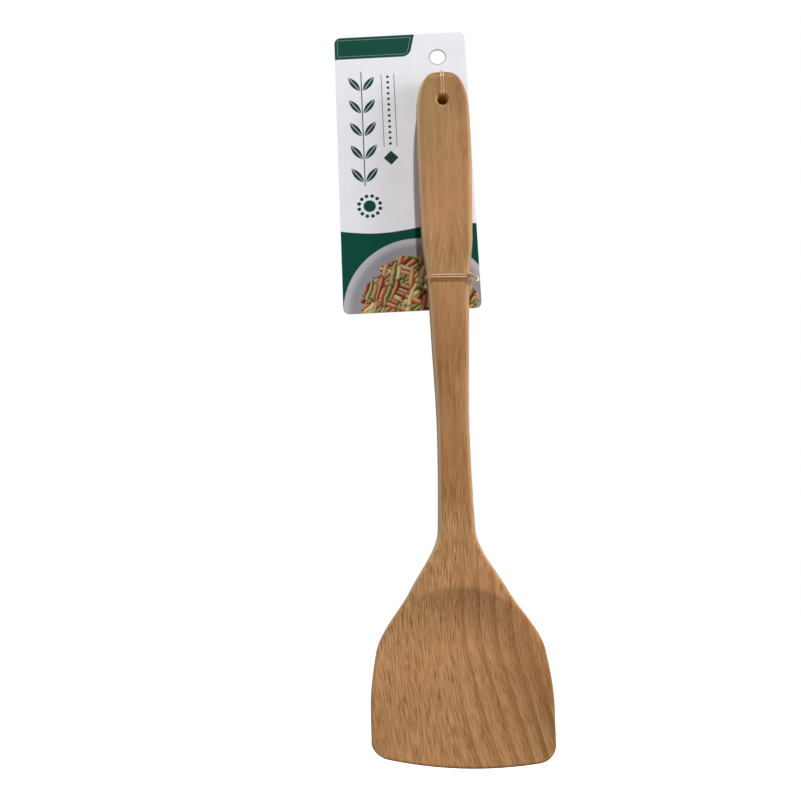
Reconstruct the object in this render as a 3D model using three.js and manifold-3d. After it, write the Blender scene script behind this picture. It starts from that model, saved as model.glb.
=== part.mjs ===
// A wooden wok spatula tied to its hang card.
// Millimetres. +Z is up, +X is to the right and the front faces -Y, as the card hangs on its peg.
// The origin is the centre of the card's hang hole, on the card's back face.

import * as THREE from "three";
import { mergeVertices } from "three/addons/utils/BufferGeometryUtils.js";
import Module from "manifold-3d";

const { degToRad, smoothstep, lerp, clamp } = THREE.MathUtils;

// Lengths along the spatula, from the grip's end down to the blade's tip
const spatulaLength = 365;
const gripLength = 97;
const gripTaperLength = 24;
const neckRunIn = 32;
const shoulderLength = 59;
const bladeLength = 55;

// Widths of the spatula
const gripEndWidth = 28.2;
const gripWidth = 29.5;
const gripWidestAt = 42;
const gripHeelWidth = 27.2;
const gripTaperWidth = 22.5;
const neckTopWidth = 19.8;
const neckWidth = 16.8;
const throatWidth = 18.9;
const shoulderWidth = 48;
const bladeTopWidth = 83;
const bladeWidth = 89;

// Rounded ends of the outline
const gripEndRound = 25;
const gripEndPower = 2.4;
const bladeCornerRadius = 8;
const bladeEdgeBow = 5;
const bladeEdgeSlant = 1.8;

// Thicknesses of the spatula
const gripEndThickness = 14;
const gripThickness = 16;
const neckThickness = 13;
const throatThickness = 13.5;
const bladeThickness = 8.5;
const tipThickness = 2.4;
const tipLip = 1.1;

// Side view of the blade's back, measured from the handle's flat back
const bellyBack = 0.7;
const tipForward = 3.2;
const backRound = 5;

// Scoop in the blade's front
const scoopLength = 86;
const scoopArchRadius = 37;
const scoopWallLength = 28;
const flankRise = 3.8;
const shoulderFall = 5;
const tipFlatness = 0.75;

// Rounded edges of the wood
const gripEdge = 4;
const neckEdge = 3.2;
const bladeEdge = 1.6;
const gripEndEdge = 7;
const tipEdge = 1.6;
const edgeSquareness = 3;

// Hanging hole through the handle
const handleHoleDiameter = 6.3;
const handleHoleFromEnd = 19.5;
const handleHoleChamfer = 0.6;

// Hang card
const cardWidth = 74.5;
const cardHeight = 164;
const cardThickness = 0.6;
const cardCornerRadius = 3.5;
const cardLean = degToRad(1.3);
const hangHoleDiameter = 8.8;
const hangHoleFromTop = 15;
const hangHoleFromRight = 16.1;

// Place of the spatula on the card
const handleRightOfHangHole = 1.5;
const handleBelowHangHole = 10.8;
const seatGap = 0.3;

// Cord ties
const cordDiameter = 0.8;
const cordPitch = 1.3;
const cordTurns = 2;
const cordBend = 1;
const cordCornerShare = 0.7;
const cordClearance = 0.3;
const neckTieFromEnd = 120;
const knotWraps = 4;
const knotWrapRadius = 0.65;
const knotWrapPitch = 0.72;
const knotTailLength = 3;
const bowLength = 5;
const bowWidth = 2.8;
const bowDip = degToRad(38);
const bowStart = degToRad(20);

// Counts of the facets
const endRings = 8;
const handleRings = 18;
const bladeRings = 27;
const tipRings = 6;
const edgeSteps = 5;
const faceSteps = 12;
const holeSides = 32;
const cornerSteps = 6;
const cordSides = 8;
const bowSteps = 16;
const wrapSteps = 4;

const wasm = await Module();
wasm.setup();

// A closed geometry as a solid that can be cut and joined
function solidOf(geometry) {
  const bare = geometry.clone();
  bare.deleteAttribute("normal");
  bare.deleteAttribute("uv");
  const merged = mergeVertices(bare);
  return new wasm.Manifold(new wasm.Mesh({
    numProp: 3,
    vertProperties: new Float32Array(merged.attributes.position.array),
    triVerts: new Uint32Array(merged.index.array),
  }));
}

function geometryOf(solid) {
  const { vertProperties, triVerts } = solid.getMesh();
  const geometry = new THREE.BufferGeometry();
  geometry.setAttribute("position", new THREE.BufferAttribute(vertProperties, 3));
  geometry.setIndex(new THREE.BufferAttribute(triVerts, 1));
  geometry.computeVertexNormals();
  return geometry;
}

function namedMesh(name, solid, look) {
  const mesh = new THREE.Mesh(geometryOf(solid), new THREE.MeshStandardMaterial(look));
  mesh.name = name;
  return mesh;
}

// A smooth curve through [place, value] keys that never swings past them, and is level beyond its ends
function smoothProfile(keys) {
  const rise = (i) => (keys[i + 1][1] - keys[i][1]) / (keys[i + 1][0] - keys[i][0]);
  const slopes = keys.map((key, i) => {
    if (i === 0 || i === keys.length - 1) {
      return 0;
    }
    const before = rise(i - 1);
    const after = rise(i);
    return before * after > 0 ? (2 * before * after) / (before + after) : 0;
  });
  return (place) => {
    const last = keys.length - 1;
    if (place <= keys[0][0]) {
      return keys[0][1];
    }
    if (place >= keys[last][0]) {
      return keys[last][1];
    }
    const i = keys.findIndex((key) => key[0] > place) - 1;
    const span = keys[i + 1][0] - keys[i][0];
    const t = (place - keys[i][0]) / span;
    const along = (1 + 2 * t) * (1 - t) ** 2 * keys[i][1] + t * t * (3 - 2 * t) * keys[i + 1][1];
    return along + span * (t * (1 - t) ** 2 * slopes[i] + t * t * (t - 1) * slopes[i + 1]);
  };
}

// Stations down the spatula, measured from the grip's end
const gripTaperAt = gripLength + gripTaperLength;
const neckTopAt = gripTaperAt + neckRunIn;
const bladeTopAt = spatulaLength - bladeLength;
const throatAt = bladeTopAt - shoulderLength;
const neckAt = (neckTopAt + throatAt) / 2;
const shoulderAt = (throatAt + bladeTopAt) / 2;
const cornerAt = spatulaLength - bladeCornerRadius;
const bladeWidestAt = (bladeTopAt + spatulaLength) / 2;

const outline = smoothProfile([
  [0, gripEndWidth / 2],
  [gripWidestAt, gripWidth / 2],
  [gripLength, gripHeelWidth / 2],
  [gripTaperAt, gripTaperWidth / 2],
  [neckTopAt, neckTopWidth / 2],
  [neckAt, neckWidth / 2],
  [throatAt, throatWidth / 2],
  [shoulderAt, shoulderWidth / 2],
  [bladeTopAt, bladeTopWidth / 2],
  [bladeWidestAt, bladeWidth / 2],
]);

const boardThickness = smoothProfile([
  [0, gripEndThickness],
  [gripWidestAt, gripThickness],
  [gripLength, gripThickness],
  [neckTopAt, neckThickness],
  [throatAt, throatThickness],
]);

const scoopedThickness = smoothProfile([
  [bladeTopAt, bladeThickness],
  [spatulaLength, tipThickness],
]);

const backLine = smoothProfile([
  [throatAt, 0],
  [bladeTopAt, -bellyBack],
  [spatulaLength, tipForward],
]);

const edgeRound = smoothProfile([
  [gripLength, gripEdge],
  [neckAt, neckEdge],
  [throatAt, neckEdge],
  [bladeTopAt, bladeEdge],
]);

function halfWidth(station) {
  const fromEnd = clamp(1 - station / gripEndRound, 0, 1);
  const end = (1 - fromEnd ** gripEndPower) ** (1 / gripEndPower);
  const intoCorner = Math.max(station - cornerAt, 0);
  const corner = bladeCornerRadius - Math.sqrt(bladeCornerRadius ** 2 - intoCorner ** 2);
  return outline(station) * end - corner;
}

// How far down the blade a station is: 0 at the blade's top, 1 at its tip
function downBlade(station) {
  return clamp((station - bladeTopAt) / bladeLength, 0, 1);
}

// How curved the blade is across its width: full at its top, nearly flat at its tip
function crossCurve(station, across) {
  const spread = across / (bladeWidth / 2);
  return spread ** 2 * (1 - tipFlatness * downBlade(station) ** 2);
}

function backHeight(station, across) {
  const rounded = backRound * smoothstep(station, throatAt, bladeTopAt);
  return backLine(station) + rounded * crossCurve(station, across);
}

// The front is the board's own face down to an arched ridge, and the scoop's floor below it
function frontHeight(station, across) {
  const neckHalf = throatWidth / 2;
  const outward = clamp((Math.abs(across) - neckHalf) / (bladeWidth / 2 - neckHalf), 0, 1);
  const face = backLine(station) + boardThickness(station) - shoulderFall * outward ** 2;
  const floor = backLine(station) + scoopedThickness(station) + flankRise * crossCurve(station, across);
  const ridge = spatulaLength - scoopLength + across ** 2 / (2 * scoopArchRadius);
  const downWall = clamp((station - ridge) / scoopWallLength, 0, 1);
  return lerp(face, floor, 1 - (1 - downWall) ** 2);
}

// Share of the full thickness that is left where the grip's end and the blade's tip round off
function endShare(station) {
  if (station < gripEndEdge) {
    return Math.sqrt(1 - (1 - station / gripEndEdge) ** 2);
  }
  const intoTip = clamp((station - spatulaLength + tipEdge) / tipEdge, 0, 1);
  const lipShare = tipLip / tipThickness;
  return lipShare + (1 - lipShare) * Math.sqrt(1 - intoTip ** 2);
}

const handleTop = -(hangHoleDiameter / 2 + handleBelowHangHole);
const handleBack = -(cardThickness + seatGap);

function onSpatula(station, across, height) {
  const spread = across / (bladeWidth / 2);
  const bow = downBlade(station) ** 2 * (bladeEdgeBow * spread ** 2 - bladeEdgeSlant * spread);
  return new THREE.Vector3(
    handleRightOfHangHole + across,
    handleBack - height,
    handleTop - station + bow,
  );
}

// One cross-section: from the right edge over the front to the left edge, and back behind
function crossSection(station) {
  const half = halfWidth(station);
  const round = Math.min(edgeRound(station), half);
  const flatHalf = half - round;
  const edgePower = 2 / edgeSquareness;
  const spots = [];
  for (let k = 0; k < edgeSteps; k += 1) {
    const angle = (k / edgeSteps) * (Math.PI / 2);
    spots.push([flatHalf + round * Math.cos(angle) ** edgePower, Math.sin(angle) ** edgePower]);
  }
  for (let k = 0; k <= faceSteps; k += 1) {
    spots.push([flatHalf * (1 - (2 * k) / faceSteps), 1]);
  }
  for (let k = edgeSteps - 1; k >= 0; k -= 1) {
    const angle = (k / edgeSteps) * (Math.PI / 2);
    spots.push([-flatHalf - round * Math.cos(angle) ** edgePower, Math.sin(angle) ** edgePower]);
  }
  const pointAt = ([across, fullness], side) => {
    const front = frontHeight(station, across);
    const back = backHeight(station, across);
    const reach = (side * fullness * endShare(station) * (front - back)) / 2;
    return onSpatula(station, across, (front + back) / 2 + reach);
  };
  const overFront = spots.map((spot) => pointAt(spot, 1));
  const behind = spots.slice(1, -1).reverse().map((spot) => pointAt(spot, -1));
  return [...overFront, ...behind];
}

function spatulaStations() {
  const stations = [];
  for (let k = 1; k <= endRings; k += 1) {
    stations.push(gripEndRound * (1 - Math.cos((k / endRings) * (Math.PI / 2))));
  }
  for (let k = 1; k <= handleRings; k += 1) {
    stations.push(lerp(gripEndRound, throatAt, k / handleRings));
  }
  for (let k = 1; k <= bladeRings; k += 1) {
    stations.push(lerp(throatAt, cornerAt, k / bladeRings));
  }
  for (let k = 1; k <= tipRings; k += 1) {
    stations.push(cornerAt + bladeCornerRadius * Math.sin((k / tipRings) * (Math.PI / 2)));
  }
  return stations;
}

// The blank: cross-sections joined from the grip's end to the blade's flat lip
function spatulaBlank() {
  const rings = spatulaStations().map(crossSection);
  const count = rings[0].length;
  const top = onSpatula(0, 0, (frontHeight(0, 0) + backHeight(0, 0)) / 2);
  const points = [top, ...rings.flat()];
  const at = (ring, k) => 1 + ring * count + (k % count);
  const faces = [];
  for (let k = 0; k < count; k += 1) {
    faces.push(0, at(0, k + 1), at(0, k));
    for (let ring = 0; ring < rings.length - 1; ring += 1) {
      faces.push(at(ring, k), at(ring, k + 1), at(ring + 1, k));
      faces.push(at(ring, k + 1), at(ring + 1, k + 1), at(ring + 1, k));
    }
  }
  const last = rings.length - 1;
  for (let k = 0; k < count / 2; k += 1) {
    const opposite = count - k;
    if (k + 1 < opposite - 1) {
      faces.push(at(last, k), at(last, k + 1), at(last, opposite - 1));
    }
    if (k > 0) {
      faces.push(at(last, k), at(last, opposite - 1), at(last, opposite));
    }
  }
  const geometry = new THREE.BufferGeometry().setFromPoints(points);
  geometry.setIndex(faces);
  return solidOf(geometry);
}

const handleHoleZ = handleTop - handleHoleFromEnd;
const handleHoleFront = handleBack - frontHeight(handleHoleFromEnd, 0);

// A drill with a countersink at both ends
function handleHoleCutter() {
  const radius = handleHoleDiameter / 2;
  const past = handleHoleChamfer;
  const mouth = radius + handleHoleChamfer + past;
  const profile = [
    new THREE.Vector2(0, handleHoleFront - past),
    new THREE.Vector2(mouth, handleHoleFront - past),
    new THREE.Vector2(radius, handleHoleFront + handleHoleChamfer),
    new THREE.Vector2(radius, handleBack - handleHoleChamfer),
    new THREE.Vector2(mouth, handleBack + past),
    new THREE.Vector2(0, handleBack + past),
  ];
  const cutter = new THREE.LatheGeometry(profile, holeSides);
  cutter.translate(handleRightOfHangHole, 0, handleHoleZ);
  return solidOf(cutter);
}

// A flat shape drawn in X and Z, as a plate between two depths
function plate(shape, front, back) {
  const geometry = new THREE.ExtrudeGeometry(shape, {
    depth: back - front,
    bevelEnabled: false,
    curveSegments: cornerSteps,
  });
  geometry.rotateX(Math.PI / 2);
  geometry.translate(0, back, 0);
  return geometry;
}

function cardShape() {
  const right = hangHoleFromRight;
  const left = right - cardWidth;
  const top = hangHoleFromTop;
  const bottom = top - cardHeight;
  const r = cardCornerRadius;
  const shape = new THREE.Shape();
  shape.absarc(right - r, top - r, r, 0, Math.PI / 2);
  shape.absarc(left + r, top - r, r, Math.PI / 2, Math.PI);
  shape.absarc(left + r, bottom + r, r, Math.PI, 1.5 * Math.PI);
  shape.absarc(right - r, bottom + r, r, 1.5 * Math.PI, 2 * Math.PI);
  return shape;
}

// A round-ended slot that lets a tie's turns through the card, with its long way along X or Z
function slotCutter(x, z, alongX) {
  const r = cordDiameter / 2 + cordClearance;
  const half = (cordPitch * cordTurns) / 2;
  const shape = new THREE.Shape();
  shape.absarc(half, 0, r, -Math.PI / 2, Math.PI / 2);
  shape.absarc(-half, 0, r, Math.PI / 2, 1.5 * Math.PI);
  const cutter = plate(shape, -2 * cardThickness, cardThickness);
  if (!alongX) {
    cutter.rotateY(Math.PI / 2);
  }
  cutter.translate(x, 0, z);
  return solidOf(cutter);
}

function hangHoleCutter() {
  const drill = new THREE.CylinderGeometry(
    hangHoleDiameter / 2, hangHoleDiameter / 2, 4 * cardThickness, holeSides,
  );
  return solidOf(drill);
}

// Centre lines of the ties, clear of the wood and the card by the cord's clearance
const cordStandOff = cordDiameter / 2 + cordClearance;
const behindCard = cordStandOff;
const neckTieZ = handleTop - neckTieFromEnd;
const neckTieReach = (cordPitch * cordTurns + cordDiameter) / 2;
const neckTieTop = neckTieFromEnd - neckTieReach;
const neckTieSide = Math.max(halfWidth(neckTieTop), halfWidth(neckTieFromEnd + neckTieReach)) + cordStandOff;
const neckTieFront = handleBack - frontHeight(neckTieTop, 0) - cordStandOff;
const topTieFront = handleHoleFront - cordStandOff;
const topTieEndFront = handleBack - frontHeight(gripEndEdge, 0) - cordStandOff;
const topTieTop = handleTop + cordStandOff;
const topTieInHole = handleHoleZ + handleHoleDiameter / 2 - cordStandOff;

// A closed loop of straight runs and round corners, from the middle of its first side
// Corners are given in order, each with its bend radius and its place in the loop's own plane
function roundedLoop(corners) {
  const first = corners[corners.length - 1].place;
  const start = first.clone().add(corners[0].place).multiplyScalar(0.5);
  const points = [start];
  corners.forEach(({ place, radius }, i) => {
    const before = corners[(i + corners.length - 1) % corners.length].place;
    const after = corners[(i + 1) % corners.length].place;
    const inward = before.clone().sub(place).normalize();
    const onward = after.clone().sub(place).normalize();
    const centre = place.clone().addScaledVector(inward, radius).addScaledVector(onward, radius);
    for (let k = 0; k <= cornerSteps; k += 1) {
      const angle = (k / cornerSteps) * (Math.PI / 2);
      const point = centre.clone().addScaledVector(onward, -radius * Math.cos(angle));
      points.push(point.addScaledVector(inward, -radius * Math.sin(angle)));
    }
  });
  points.push(start.clone());
  return points;
}

// The same loop, started at the middle of its first corner
function fromFirstCorner(loop) {
  const middle = 1 + cornerSteps / 2;
  return [...loop.slice(middle, -1), ...loop.slice(0, middle + 1)];
}

// The loop wound several times side by side, as one open route: [place in the plane, sideways]
function winding(loop) {
  const lengths = [0];
  for (let k = 1; k < loop.length; k += 1) {
    lengths.push(lengths[k - 1] + loop[k].distanceTo(loop[k - 1]));
  }
  const perimeter = lengths[loop.length - 1];
  const route = [];
  for (let turn = 0; turn < cordTurns; turn += 1) {
    loop.forEach((point, k) => {
      if (turn === 0 || k > 0) {
        route.push([point, cordPitch * (turn + lengths[k] / perimeter - cordTurns / 2)]);
      }
    });
  }
  return route;
}

// A curve that keeps the points of its route, with straight runs between them
class Route extends THREE.Curve {
  constructor(points) {
    super();
    this.points = points;
  }

  getPoint(t) {
    const place = t * (this.points.length - 1);
    const k = Math.min(Math.floor(place), this.points.length - 2);
    return this.points[k].clone().lerp(this.points[k + 1], place - k);
  }

  getUtoTmapping(share) {
    return share;
  }
}

function cordAlong(curve, steps) {
  const section = new THREE.Shape();
  section.absarc(0, 0, cordDiameter / 2, 0, 2 * Math.PI);
  const geometry = new THREE.ExtrudeGeometry(section, {
    extrudePath: curve,
    steps,
    curveSegments: cordSides / 2,
  });
  return solidOf(geometry);
}

// Least clear gap between the turns of a wound cord, measured on points along it
function leastGapBetweenTurns(points) {
  const samples = [];
  let length = 0;
  for (let k = 1; k < points.length; k += 1) {
    const run = points[k].distanceTo(points[k - 1]);
    const pieces = Math.ceil(run / (cordDiameter / 4));
    for (let piece = 0; piece < pieces; piece += 1) {
      const share = piece / pieces;
      samples.push({ at: points[k - 1].clone().lerp(points[k], share), length: length + run * share });
    }
    length += run;
  }
  let least = Infinity;
  samples.forEach((one, i) => {
    samples.slice(i + 1).forEach((other) => {
      if (other.length - one.length > 4 * cordDiameter) {
        least = Math.min(least, one.at.distanceTo(other.at) - cordDiameter);
      }
    });
  });
  return least;
}

// A barrel knot: a solid core with the cord's wraps round it, and two ends that stick out
function knotAlong(axis, centre) {
  const wrapStart = -(knotWraps * knotWrapPitch) / 2;
  const profile = [new THREE.Vector2(0, wrapStart)];
  for (let k = 0; k < knotWraps; k += 1) {
    for (let step = 0; step < wrapSteps; step += 1) {
      const angle = ((step + 0.5) / wrapSteps) * Math.PI;
      const along = wrapStart + knotWrapPitch * (k + (1 - Math.cos(angle)) / 2);
      profile.push(new THREE.Vector2(knotWrapRadius + (cordDiameter / 2) * Math.sin(angle), along));
    }
  }
  profile.push(new THREE.Vector2(0, -wrapStart));
  const barrel = new THREE.LatheGeometry(profile, 2 * cordSides);
  barrel.applyQuaternion(new THREE.Quaternion().setFromUnitVectors(new THREE.Vector3(0, 1, 0), axis));
  barrel.translate(centre.x, centre.y, centre.z);
  const tailStart = centre.clone().addScaledVector(axis, -knotTailLength);
  const tailEnd = centre.clone().addScaledVector(axis, knotTailLength);
  return solidOf(barrel).add(cordAlong(new THREE.LineCurve3(tailStart, tailEnd), 1));
}

// A small loop of cord that leaves a knot to the right, dips and comes back to it
class BowLoop extends THREE.Curve {
  constructor(knot) {
    super();
    this.knot = knot;
  }

  getPoint(t) {
    const angle = lerp(bowStart, 2 * Math.PI - bowStart, t);
    const out = (bowLength / 2) * (1 - Math.cos(angle));
    const aside = (bowWidth / 2) * Math.sin(angle);
    const right = out * Math.cos(bowDip) + aside * Math.sin(bowDip);
    const up = aside * Math.cos(bowDip) - out * Math.sin(bowDip);
    return this.knot.clone().add(new THREE.Vector3(right, 0, up));
  }
}

// A knot stands off what it lies on by its own radius and the cord's clearance
const knotStandOff = knotWrapRadius + cordDiameter / 2 + cordClearance;

function neckTie() {
  const left = handleRightOfHangHole - neckTieSide;
  const right = handleRightOfHangHole + neckTieSide;
  const frontRadius = cordCornerShare * edgeRound(neckTieFromEnd) + cordStandOff;
  const loop = fromFirstCorner(roundedLoop([
    { place: new THREE.Vector2(right, neckTieFront), radius: frontRadius },
    { place: new THREE.Vector2(left, neckTieFront), radius: frontRadius },
    { place: new THREE.Vector2(left, behindCard), radius: cordBend },
    { place: new THREE.Vector2(right, behindCard), radius: cordBend },
  ]));
  const points = winding(loop).map(([flat, aside]) => new THREE.Vector3(flat.x, flat.y, neckTieZ + aside));
  console.log("neck tie, least gap between turns (mm):", leastGapBetweenTurns(points).toFixed(2));
  const cord = cordAlong(new Route(points), points.length - 1);

  // The knot sits on the grip's rounded front edge, lies along it and holds the cord's two ends
  const outward = new THREE.Vector3(1, -1, 0).normalize();
  const roundEdge = new THREE.Vector3(1, 1, 0).normalize();
  const edgeCentre = new THREE.Vector3(right - frontRadius, neckTieFront + frontRadius, neckTieZ);
  const knot = edgeCentre.addScaledVector(outward, frontRadius - cordStandOff + knotStandOff);
  return cord.add(knotAlong(roundEdge, knot)).add(cordAlong(new BowLoop(knot), bowSteps));
}

function topTie() {
  const endRadius = gripEndEdge + cordStandOff;
  const loop = roundedLoop([
    { place: new THREE.Vector2(topTieInHole, behindCard), radius: cordBend },
    { place: new THREE.Vector2(topTieInHole, topTieFront), radius: cordBend },
    { place: new THREE.Vector2(topTieTop, topTieEndFront), radius: endRadius },
    { place: new THREE.Vector2(topTieTop, behindCard), radius: cordBend },
  ]);
  const points = winding(loop).map(
    ([flat, aside]) => new THREE.Vector3(handleRightOfHangHole + aside, flat.y, flat.x),
  );
  console.log("top tie, least gap between turns (mm):", leastGapBetweenTurns(points).toFixed(2));
  const cord = cordAlong(new Route(points), points.length - 1);

  const across = new THREE.Vector3(1, 0, 0);
  const knot = new THREE.Vector3(handleRightOfHangHole, knotStandOff, loop[0].x);
  return cord.add(knotAlong(across, knot));
}

function hangCard() {
  const blank = plate(cardShape(), -cardThickness, 0);
  blank.rotateY(-cardLean);
  return solidOf(blank)
    .subtract(hangHoleCutter())
    .subtract(slotCutter(handleRightOfHangHole, topTieTop, true))
    .subtract(slotCutter(handleRightOfHangHole, topTieInHole, true))
    .subtract(slotCutter(handleRightOfHangHole - neckTieSide, neckTieZ, false))
    .subtract(slotCutter(handleRightOfHangHole + neckTieSide, neckTieZ, false));
}

const beechLook = { color: 0xa77b54, roughness: 0.6, metalness: 0 };
const cardLook = { color: 0xdcdce0, roughness: 0.5, metalness: 0 };
const cordLook = { color: 0xdcbf9c, roughness: 0.35, metalness: 0 };

const cardedSpatula = new THREE.Group();
cardedSpatula.add(namedMesh("spatula", spatulaBlank().subtract(handleHoleCutter()), beechLook));
cardedSpatula.add(namedMesh("hang_card", hangCard(), cardLook));
cardedSpatula.add(namedMesh("top_tie", topTie(), cordLook));
cardedSpatula.add(namedMesh("neck_tie", neckTie(), cordLook));

export default cardedSpatula;
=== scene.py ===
"""A wooden wok spatula tied to its hang card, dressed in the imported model's own frame.

Metres. +Z is up, +X is to the right and the front faces -Y. The origin is the card's hang hole.
"""
import math

import bmesh
import bpy
import numpy as np
from mathutils import Matrix, Vector


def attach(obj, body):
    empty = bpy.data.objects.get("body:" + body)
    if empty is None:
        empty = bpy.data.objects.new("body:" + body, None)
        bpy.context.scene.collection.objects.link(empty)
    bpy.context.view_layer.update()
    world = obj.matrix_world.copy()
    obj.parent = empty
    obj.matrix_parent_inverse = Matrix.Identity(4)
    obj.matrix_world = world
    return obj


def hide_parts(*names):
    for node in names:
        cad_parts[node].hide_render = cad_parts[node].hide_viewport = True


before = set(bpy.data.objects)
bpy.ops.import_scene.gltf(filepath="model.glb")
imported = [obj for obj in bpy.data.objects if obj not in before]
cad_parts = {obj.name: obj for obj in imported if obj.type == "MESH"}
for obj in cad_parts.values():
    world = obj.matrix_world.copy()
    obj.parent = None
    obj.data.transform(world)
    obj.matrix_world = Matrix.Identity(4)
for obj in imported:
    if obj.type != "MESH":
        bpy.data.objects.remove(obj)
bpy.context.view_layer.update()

# The spatula: one piece of beech, sawn to its outline, with a shallow scoop in the front of its blade.
# Its edges are rounded over and sanded, a hanging hole is bored through its grip, and the wood is oiled.
mm = 0.001
spatula_length = 365 * mm
throat_at = 251 * mm
blade_top_at = 310 * mm
blade_length = spatula_length - blade_top_at
blade_width = 89 * mm
throat_width = 18.9 * mm
scoop_length = 86 * mm
grip_end_round = 25 * mm
grip_end_power = 2.4
grip_end_edge = 7 * mm
edge_squareness = 3
blade_corner_radius = 8 * mm
corner_at = spatula_length - blade_corner_radius
tip_edge = 1.6 * mm
tip_lip_share = 0.12
tip_flatness = 0.75
back_round = 5 * mm
spatula_x = 1.5 * mm
handle_top = -15.2 * mm
handle_back = -0.9 * mm
handle_hole_diameter = 6.3 * mm
handle_hole_from_end = 19.5 * mm
handle_hole_mouth = 0.9 * mm


def smooth_profile(keys):
    """A smooth curve through (place, value) keys in millimetres that never swings past them."""
    places, values = np.array(keys).T * mm
    rise = np.diff(values) / np.diff(places)
    product = rise[:-1] * rise[1:]
    total = np.where(product > 0, rise[:-1] + rise[1:], 1)
    slopes = np.concatenate([[0], np.where(product > 0, 2 * product / total, 0), [0]])

    def value_at(place):
        place = np.clip(place, places[0], places[-1])
        i = np.clip(np.searchsorted(places, place, side="right") - 1, 0, len(rise) - 1)
        span = places[i + 1] - places[i]
        t = (place - places[i]) / span
        level = (1 + 2 * t) * (1 - t) ** 2 * values[i] + t * t * (3 - 2 * t) * values[i + 1]
        return level + span * (t * (1 - t) ** 2 * slopes[i] + t * t * (t - 1) * slopes[i + 1])

    return value_at


half_outline = smooth_profile([
    (0, 14.1), (42, 14.75), (97, 13.6), (121, 11.25), (153, 9.9),
    (202, 8.4), (251, 9.45), (280.5, 24), (310, 41.5), (337.5, 44.5),
])
board_thickness = smooth_profile([(0, 14), (42, 16), (97, 16), (153, 13), (251, 13.5)])
scooped_thickness = smooth_profile([(310, 8.5), (365, 2.4)])
back_line = smooth_profile([(251, 0), (310, -0.7), (365, 3.2)])
edge_round = smooth_profile([(97, 4), (202, 3.2), (251, 3.2), (310, 1.6)])


def half_width(station):
    from_end = np.clip(1 - station / grip_end_round, 0, 1)
    end = (1 - from_end ** grip_end_power) ** (1 / grip_end_power)
    into_corner = np.clip(station - corner_at, 0, blade_corner_radius)
    corner = blade_corner_radius - np.sqrt(blade_corner_radius ** 2 - into_corner ** 2)
    return half_outline(station) * end - corner


def down_blade(station):
    return np.clip((station - blade_top_at) / blade_length, 0, 1)


def end_share(station):
    """Share of the thickness that is left where the grip's end and the blade's tip round off."""
    into_grip = np.clip(1 - station / grip_end_edge, 0, 1)
    into_tip = np.clip((station - spatula_length + tip_edge) / tip_edge, 0, 1)
    tip = tip_lip_share + (1 - tip_lip_share) * np.sqrt(1 - into_tip ** 2)
    return np.sqrt(1 - into_grip ** 2) * tip


def spread_rows(start, end, count):
    return np.linspace(start, end, count + 1)[1:]


quarter_turn = math.pi / 2
end_rows, handle_rows, blade_rows, corner_rows = 32, 150, 190, 24
stations = np.concatenate([
    grip_end_round * (1 - np.cos(spread_rows(0, quarter_turn, end_rows))),
    spread_rows(grip_end_round, throat_at, handle_rows),
    spread_rows(throat_at, corner_at, blade_rows),
    corner_at + blade_corner_radius * np.sin(spread_rows(0, quarter_turn, corner_rows)),
])
into_blade = np.clip((stations - throat_at) / (blade_top_at - throat_at), 0, 1)
middle_line_values = {
    "station": stations,
    "half_width": half_width(stations),
    "edge_round": np.minimum(edge_round(stations), half_width(stations)),
    "back": back_line(stations),
    "back_round": back_round * into_blade ** 2 * (3 - 2 * into_blade),
    "face": back_line(stations) + board_thickness(stations),
    "floor": back_line(stations) + scooped_thickness(stations),
    "cross_curve": 1 - tip_flatness * down_blade(stations) ** 2,
    "down_blade": down_blade(stations),
    "end_share": end_share(stations),
}


def chain_mesh(name, chains):
    """A mesh of bare edges: each chain of points is joined from its first point to its last."""
    points = []
    edges = []
    for chain in chains:
        first = len(points)
        points.extend(tuple(point) for point in chain)
        edges.extend((k, k + 1) for k in range(first, len(points) - 1))
    mesh = bpy.data.meshes.new(name)
    mesh.from_pydata(points, edges, [])
    return mesh


middle_line = chain_mesh("spatula_middle_line", [[(0, 0, -station) for station in stations]])
for value_name, row_values in middle_line_values.items():
    attribute = middle_line.attributes.new(value_name, "FLOAT", "POINT")
    attribute.data.foreach_set("value", row_values.astype(np.float32))


class Measure:
    """A number that a node tree works out at each point. Sums of measures become Math nodes."""

    def __init__(self, socket):
        self.socket = socket

    def by(self, operation, *others):
        return worked_out(self.socket.id_data, operation, self, *others)

    def __add__(self, other):
        return self.by("ADD", other)

    def __sub__(self, other):
        return self.by("SUBTRACT", other)

    def __rsub__(self, other):
        return worked_out(self.socket.id_data, "SUBTRACT", other, self)

    def __mul__(self, other):
        return self.by("MULTIPLY", other)

    def __truediv__(self, other):
        return self.by("DIVIDE", other)

    def __abs__(self):
        return self.by("ABSOLUTE")

    def squared(self):
        return self.by("MULTIPLY", self)

    def at_least(self, low):
        return self.by("MAXIMUM", low)

    def at_most(self, high):
        return self.by("MINIMUM", high)

    def from_0_to_1(self):
        return self.at_least(0).at_most(1)


def feed(slot, value):
    """Links a measure or a socket to a node's slot, or sets the slot to a plain value."""
    if isinstance(value, Measure):
        value = value.socket
    if isinstance(value, bpy.types.NodeSocket):
        slot.id_data.links.new(value, slot)
    else:
        slot.default_value = value


def worked_out(tree, operation, *values):
    node = tree.nodes.new("ShaderNodeMath")
    node.operation = operation
    for slot, value in zip(node.inputs, values):
        feed(slot, value)
    return Measure(node.outputs[0])


def length_of(first, second):
    return (first.squared() + second * second).by("SQRT")


def over_zero(value, softness):
    """A measure where it is over 0, and 0 under it, with a soft turn between them."""
    return (value + length_of(value, softness)) / 2


def add_node(tree, kind, inputs, **settings):
    """A new node with its settings made and its named inputs fed."""
    node = tree.nodes.new(kind)
    for name, value in settings.items():
        setattr(node, name, value)
    for name, value in inputs.items():
        feed(node.inputs[name], value)
    return node


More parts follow.
